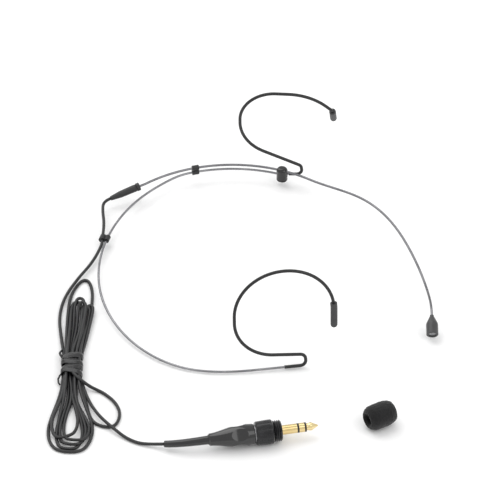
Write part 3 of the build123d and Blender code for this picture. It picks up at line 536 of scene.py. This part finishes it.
@dataclass
class Cable:
    """The one cable, from the boom's gland to the connector, with its hank."""

    diameter: float = 1.2
    gland_end: Point = (-60.2, 59.3, 4.2)
    clip: Point = (-62.7, 35.2, 3.5)
    relief_end: Point = (-37.0, -83.7, 2.4)
    length: float = 0.0
    path: list[Point] = field(default_factory=list)

    def lead(self) -> list[Point]:
        """From the gland through the clip on the neckband, and down to the tie."""
        x, z = WAIST.at(0)
        return [self.gland_end, (-63.1, 58.2, 3.65), (-63.1, 51.5, 3.6), (-62.3, 44.4, 3.6),
                self.clip, (-62.9, 30.7, 3.3), (-66.4, 22.4, 1.4), (-71.3, 12.6, 1.9),
                (-76.2, 2.0, 1.2), (-77.9, -9.0, 0.7), (-76.6, -22.0, 1.0),
                (x, WAIST.back, z)]

    def tall_loop(self) -> list[Point]:
        """The long first loop, which stands out of the upper bends."""
        x_up, z_up = WAIST.at(11)
        x_down, z_down = WAIST.at(1)
        return [(x_up, WAIST.back, z_up), (-68.2, -22.0, 2.2), (-66.2, -10.0, 0.9),
                (-65.6, -0.5, 0.65), (-65.8, 7.0, 0.65), (-67.4, 12.8, 0.65),
                (-70.0, 12.8, 0.65), (-72.8, 7.2, 0.65), (-74.3, 0.0, 0.65),
                (-74.6, -9.0, 0.7), (-74.6, -20.0, 1.2), (x_down, WAIST.back, z_down)]

    def turns(self) -> list[Point]:
        """The turns of the hank, which differ in size and cross at their bends."""
        bends: list[LowerBend | UpperBend] = [
            LowerBend(1, 6, -78.2, -68.75, -79.0, 1.75, tilt=0.9, part=0.2, hug_right=0.5),
            UpperBend(6, 2, -69.4, -73.4, -0.6, 0.8, 0.8, 0.8),
            LowerBend(2, 7, -76.4, -66.9, -84.3, part=0.1),
            UpperBend(7, 3, -68.4, -72.2, 0.3, 1.95, 1.95, 0.8),
            LowerBend(3, 8, -75.2, -65.7, -82.8, over=0.9, part=0.2, hug_left=0.3),
            UpperBend(8, 4, -67.6, -70.9, -3.3, 3.05, 2.6, 0.7),
            LowerBend(4, 9, -73.75, -64.45, -81.4, over=1.7, part=0.3, hug_left=0.9),
            UpperBend(9, 5, -66.2, -69.2, -4.6, 1.9, 1.4, 2.1),
        ]
        route = LowerBend(0, 11, -79.45, -63.2, -85.9).points() + self.tall_loop()
        for bend in bends:
            route += bend.points()
        return route

    def side_loop(self) -> list[Point]:
        """The loose loop beside the hank, and its way back up through the tie."""
        x, z = WAIST.at(5)
        back_x, back_z = WAIST.at(10)
        route = [(x, WAIST.front + 1.0, z), (-70.6, -47.0, 4.2), (-67.7, -50.0, 3.5),
                 (-64.6, -51.2, 1.7), (-61.9, -51.9, 0.7), (-59.7, -53.5, 0.65),
                 (-55.3, -58.6, 0.65), (-53.3, -65.4, 0.65), (-55.2, -72.4, 0.65),
                 (-60.3, -72.2, 0.65), (-64.2, -68.6, 0.65), (-66.0, -60.0, 0.8),
                 (-67.5, -53.0, 1.4), (back_x, WAIST.front, back_z)]
        return route + UpperBend(10, 12, -67.6, -65.0, -4.0, 1.9, 1.9, 1.9).points()

    def tail(self) -> list[Point]:
        """From the tie along the hank's edge, over the side loop, to the connector."""
        x, z = WAIST.at(12)
        return [(x, WAIST.front, z), (-67.9, -49.0, 2.0), (-66.6, -54.0, 1.3),
                (-64.6, -60.0, 1.3), (-61.5, -67.0, 1.95), (-58.2, -71.6, 2.0),
                (-55.2, -75.0, 1.8), (-51.4, -78.4, 0.8), (-46.6, -81.4, 0.7),
                (-41.4, -82.6, 1.3), self.relief_end]

    def curve(self) -> bpy.types.Object:
        """The whole route as one smooth spline."""
        points = metres(self.lead() + self.turns() + self.side_loop() + self.tail())
        data = bpy.data.curves.new("cable_line", "CURVE")
        data.dimensions = "3D"
        line = data.splines.new("NURBS")
        line.points.add(len(points) - 1)
        for slot, place in zip(line.points, points):
            slot.co = (*place, 1.0)
        line.order_u = 3
        line.use_endpoint_u = True
        data.resolution_u = 8
        made = bpy.data.objects.new("cable_line", data)
        bpy.context.scene.collection.objects.link(made)
        return made

    def build(self, wardrobe: Wardrobe) -> bpy.types.Object:
        """Args:
            wardrobe: where its finish comes from.

        Returns:
            The cable.
        """
        line = self.curve()
        bpy.context.view_layer.update()
        bare = bpy.data.meshes.new_from_object(line)
        self.path = [tuple(v.co) for v in bare.vertices]
        self.length = sum((Vector(b) - Vector(a)).length
                          for a, b in zip(self.path, self.path[1:]))
        line.data.bevel_depth = self.diameter / 2 * MM
        line.data.bevel_resolution = 5
        line.data.use_fill_caps = True
        bpy.context.view_layer.update()
        shape = bmesh.new()
        shape.from_mesh(bpy.data.meshes.new_from_object(line))
        bmesh.ops.remove_doubles(shape, verts=shape.verts, dist=WELD)
        cable = new_piece("cable", shape)
        bpy.data.objects.remove(line)
        bpy.data.meshes.remove(bare)
        wardrobe.dress(cable, CABLE_PVC)
        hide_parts(*CABLE_RUNS)
        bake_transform(cable)
        LOG.info("cable: %.3f m long", self.length)
        return cable


# ---- tie -----------------------------------------------------------------

@dataclass
class WireTie:
    """Flat twist tie round the hank's waist: slanted wraps and two short tails."""

    centre: Point = (-71.9, -39.4, 2.4)
    half_width: float = 4.0
    half_height: float = 2.25
    ribbon: float = 3.3
    thick: float = 0.34
    wire: float = 0.36
    wraps: tuple[tuple[float, float, float], ...] = (
        (3.5, 0.9, 0.0), (0.2, -0.7, 0.07), (-2.9, 0.9, 0.04), (-4.7, -1.1, 0.0))
    slices: int = 72
    corner: float = 0.45
    squareness: float = 0.72
    ripple: float = 0.12

    def round_at(self, turn: float, out: float) -> tuple[float, float]:
        """Side place and height on the wrap's rounded outline, pushed out by `out`."""
        c, s = math.cos(turn), math.sin(turn)
        power = self.squareness
        x = math.copysign(abs(c) ** power, c) * (self.half_width - self.corner + out)
        z = math.copysign(abs(s) ** power, s) * (self.half_height - self.corner + out)
        return x, z

    def section(self) -> list[tuple[float, float]]:
        """Ribbon's outline as across and out: thin wings with a wire ridge in the middle."""
        half = self.ribbon / 2
        return [(-half, 0.06), (-half * 0.8, self.thick * 0.9), (-0.5, self.thick),
                (-0.28, self.wire * 1.45), (0.28, self.wire * 1.45), (0.5, self.thick),
                (half * 0.8, self.thick * 0.9), (half, 0.06), (half * 0.7, -0.05),
                (-half * 0.7, -0.05)]

    def wrap(self, shape: bmesh.types.BMesh, y: float, slant: float, out: float) -> None:
        """Adds one closed wrap of ribbon.

        Args:
            shape: the mesh it goes in.
            y: its distance along the hank from the tie's centre.
            slant: how far it rises along the hank on its way across.
            out: how far it lies outside the tie's plain outline.
        """
        loops = []
        for i in range(self.slices):
            turn = 2 * math.pi * i / self.slices
            ring = []
            for across, rise in self.section():
                wave = self.ripple * math.sin(3 * turn + y)
                x, z = self.round_at(turn, rise + out)
                lean = slant * math.cos(turn) + wave
                ring.append(shape.verts.new(Vector((
                    self.centre[0] + x, self.centre[1] + y + across + lean,
                    self.centre[2] + z)) * MM))
            loops.append([shape.edges.new((ring[j], ring[(j + 1) % len(ring)]))
                          for j in range(len(ring))])
        for a, b in zip(loops, loops[1:] + loops[:1]):
            bmesh.ops.bridge_loops(shape, edges=a + b)

    def tail(self, shape: bmesh.types.BMesh, route: list[Point], radius: float) -> None:
        """Adds one tail, a tapering bent rod.

        Args:
            shape: the mesh it goes in.
            route: the points it follows, in millimetres.
            radius: its radius where it leaves the wraps.
        """
        points = metres(route)
        rings = []
        for i, place in enumerate(points):
            ahead = points[min(i + 1, len(points) - 1)] - points[max(i - 1, 0)]
            turn = ahead.to_track_quat("Z", "Y").to_matrix().to_4x4()
            size = radius * (1.0 - 0.25 * i / (len(points) - 1)) * MM
            ring = bmesh.ops.create_circle(shape, cap_ends=i in (0, len(points) - 1),
                                           segments=12, radius=size,
                                           matrix=Matrix.Translation(place) @ turn)["verts"]
            edges = {e for v in ring for e in v.link_edges if e.other_vert(v) in ring}
            rings.append([e for e in edges if len(e.link_faces) < 2])
        for a, b in zip(rings, rings[1:]):
            bmesh.ops.bridge_loops(shape, edges=a + b)

    def build(self, wardrobe: Wardrobe) -> bpy.types.Object:
        """Makes the tie and lets it stand for its plain parts.

        Args:
            wardrobe: where its finish comes from.

        Returns:
            The tie.
        """
        shape = bmesh.new()
        for y, slant, out in self.wraps:
            self.wrap(shape, y, slant, out)
        self.tail(shape, [(-75.6, -35.0, 2.4), (-76.3, -34.0, 2.6), (-76.7, -32.6, 2.4),
                          (-76.4, -31.2, 2.0), (-75.9, -30.2, 1.8)], 0.5)
        self.tail(shape, [(-75.5, -44.4, 2.4), (-76.2, -45.3, 2.2), (-76.8, -46.6, 1.7),
                          (-76.6, -48.2, 1.2), (-76.0, -48.9, 0.9)], 0.42)
        tie = new_piece("wire_tie", shape)
        wardrobe.dress(tie, TIE_PVC)
        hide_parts("hank_tie", "hank_tie_tail_high", "hank_tie_tail_low")
        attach(tie, "headset_frame")
        LOG.info("wire tie: %d wraps", len(self.wraps))
        return tie


# ---- windscreen ----------------------------------------------------------

@dataclass
class Windscreen:
    """Foam barrel with a blind bore for the capsule."""

    diameter: float = 9.6
    length: float = 11.4
    bore: float = 4.3
    depth: float = 8.4
    place: Point = (40.8, -70.5, 4.8)
    yaw: float = 30.6
    fuzz: float = 0.14
    lumps: float = 520.0
    cells: float = 2300.0
    steps: int = 112

    def outline(self) -> list[tuple[float, float]]:
        """Half outline of the foam, as stations and radii.

        Returns:
            Points from the round end, over the outside, to the floor of the bore.
        """
        r = self.diameter / 2 - self.fuzz
        h = self.length / 2
        b = self.bore / 2
        return [(h, 0.0), (h - 0.03, 1.2), (h - 0.2, 2.5), (h - 0.75, 3.6), (h - 1.7, r - 0.5),
                (h - 3.0, r - 0.12), (h - 4.6, r), (h - 7.6, r), (-h + 2.1, r - 0.14),
                (-h + 0.9, r - 0.7), (-h + 0.15, r - 1.5), (-h, r - 2.0), (-h + 0.12, b + 0.35),
                (-h + 0.5, b + 0.05), (-h + 1.4, b), (-h + 4.2, b), (-h + 6.8, b),
                (-h + self.depth - 0.5, b - 0.1), (-h + self.depth - 0.08, b - 0.7),
                (-h + self.depth, 0.0)]

    def build(self, wardrobe: Wardrobe) -> bpy.types.Object:
        """Makes the foam barrel with its ragged open-cell skin.

        Args:
            wardrobe: where its finish comes from.

        Returns:
            The windscreen.
        """
        shape = bmesh.new()
        verts = [shape.verts.new(Vector((r, 0.0, s)) * MM) for s, r in self.outline()]
        edges = [shape.edges.new(pair) for pair in zip(verts, verts[1:])]
        bmesh.ops.subdivide_edges(shape, edges=edges, cuts=3)
        bmesh.ops.spin(shape, geom=[*shape.verts, *shape.edges], axis=(0, 0, 1),
                       cent=(0, 0, 0), steps=self.steps, angle=2 * math.pi, use_merge=True)
        bmesh.ops.remove_doubles(shape, verts=shape.verts, dist=WELD)
        bmesh.ops.recalc_face_normals(shape, faces=shape.faces)
        shape.normal_update()
        turn = Matrix.Rotation(math.radians(self.yaw - 90.0), 4, "Z") \
            @ Matrix.Rotation(math.radians(-90.0), 4, "X")
        place = Matrix.Translation(Vector(self.place) * MM)
        for v in shape.verts:
            coarse = noise.noise(v.co * self.lumps)
            fine = noise.noise(v.co * self.cells + Vector((7.0, 3.0, 1.0)))
            v.co += v.normal * (0.35 * coarse + fine) * self.fuzz * MM
        bmesh.ops.transform(shape, matrix=place @ turn, verts=shape.verts)
        foam = new_piece("foam_windscreen", shape)
        wardrobe.dress(foam, FOAM)
        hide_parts("windscreen_foam")
        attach(foam, "windscreen")
        LOG.info("windscreen: %d faces", len(foam.data.polygons))
        return foam


# ---- studio --------------------------------------------------------------

@dataclass(frozen=True)
class Lamp:
    """One soft square lamp, in metres and watts."""

    name: str
    place: Point
    size: float
    power: float


@dataclass
class Studio:
    """Pale floor, soft light and the camera."""

    target: Point = (-10.0, 38.5, 0.0)
    elevation: float = 38.0
    distance: float = 1.5
    lens: float = 292.5
    floor_size: float = 4.0
    surround: float = 0.85
    lamps: tuple[Lamp, ...] = (Lamp("key", (-0.5, 0.5, 1.1), 1.2, 7.0),
                               Lamp("fill", (0.8, -0.5, 0.9), 1.0, 4.0))

    def floor(self) -> None:
        """Plain pale floor, which isn't part of the object."""
        shape = bmesh.new()
        bmesh.ops.create_grid(shape, x_segments=1, y_segments=1, size=self.floor_size / 2)
        ground = new_piece("floor", shape, smooth=False)
        material = bpy.data.materials.new("pale_floor")
        material.use_nodes = True
        tree = material.node_tree
        tree.nodes.clear()
        shader = add(tree, "ShaderNodeBsdfPrincipled", {},
                     {"Base Color": linear("F7F7F7"), "Roughness": 0.9,
                      "Specular IOR Level": 0.1})
        add(tree, "ShaderNodeOutputMaterial", {}, {"Surface": (shader, "BSDF")})
        ground.data.materials.append(material)

    def light(self, lamp: Lamp) -> None:
        """Puts up one lamp, aimed at the object."""
        data = bpy.data.lights.new(lamp.name, "AREA")
        data.size = lamp.size
        data.energy = lamp.power
        made = bpy.data.objects.new(lamp.name, data)
        bpy.context.scene.collection.objects.link(made)
        made.location = lamp.place
        aim = Vector(self.target) * MM - Vector(lamp.place)
        made.rotation_euler = aim.to_track_quat("-Z", "Y").to_euler()

    def sky(self) -> None:
        """Even white surround."""
        world = bpy.data.worlds.new("surround")
        bpy.context.scene.world = world
        world.use_nodes = True
        tree = world.node_tree
        tree.nodes.clear()
        back = add(tree, "ShaderNodeBackground", {},
                   {"Color": (1.0, 1.0, 1.0, 1.0), "Strength": self.surround})
        add(tree, "ShaderNodeOutputWorld", {}, {"Surface": (back, "Background")})

    def camera(self) -> None:
        """Long-lensed camera that looks down at the object from the wearer's right."""
        data = bpy.data.cameras.new("camera")
        data.lens = self.lens
        data.sensor_width = 36.0
        data.clip_start = 0.05
        data.clip_end = 50.0
        cam = bpy.data.objects.new("camera", data)
        bpy.context.scene.collection.objects.link(cam)
        tilt = math.radians(self.elevation)
        back = Vector((0.0, -math.cos(tilt), math.sin(tilt)))
        cam.location = Vector(self.target) * MM + back * self.distance
        cam.rotation_euler = (-back).to_track_quat("-Z", "Y").to_euler()
        bpy.context.scene.camera = cam

    def build(self) -> None:
        """Makes the floor, the lamps, the surround and the camera."""
        self.floor()
        for lamp in self.lamps:
            self.light(lamp)
        self.sky()
        self.camera()
        bpy.context.scene.view_settings.view_transform = "Standard"
        LOG.info("studio: camera at %.0f degrees", self.elevation)


def main() -> None:
    """Builds the pieces in order."""
    logging.basicConfig(level=logging.INFO, format="%(message)s")
    wardrobe = Wardrobe()
    Studio().build()
    wardrobe.dress_frame()
    cable = Cable()
    cord = cable.build(wardrobe)
    tie = WireTie().build(wardrobe)
    Windscreen().build(wardrobe)


if __name__ == "__main__":
    main()
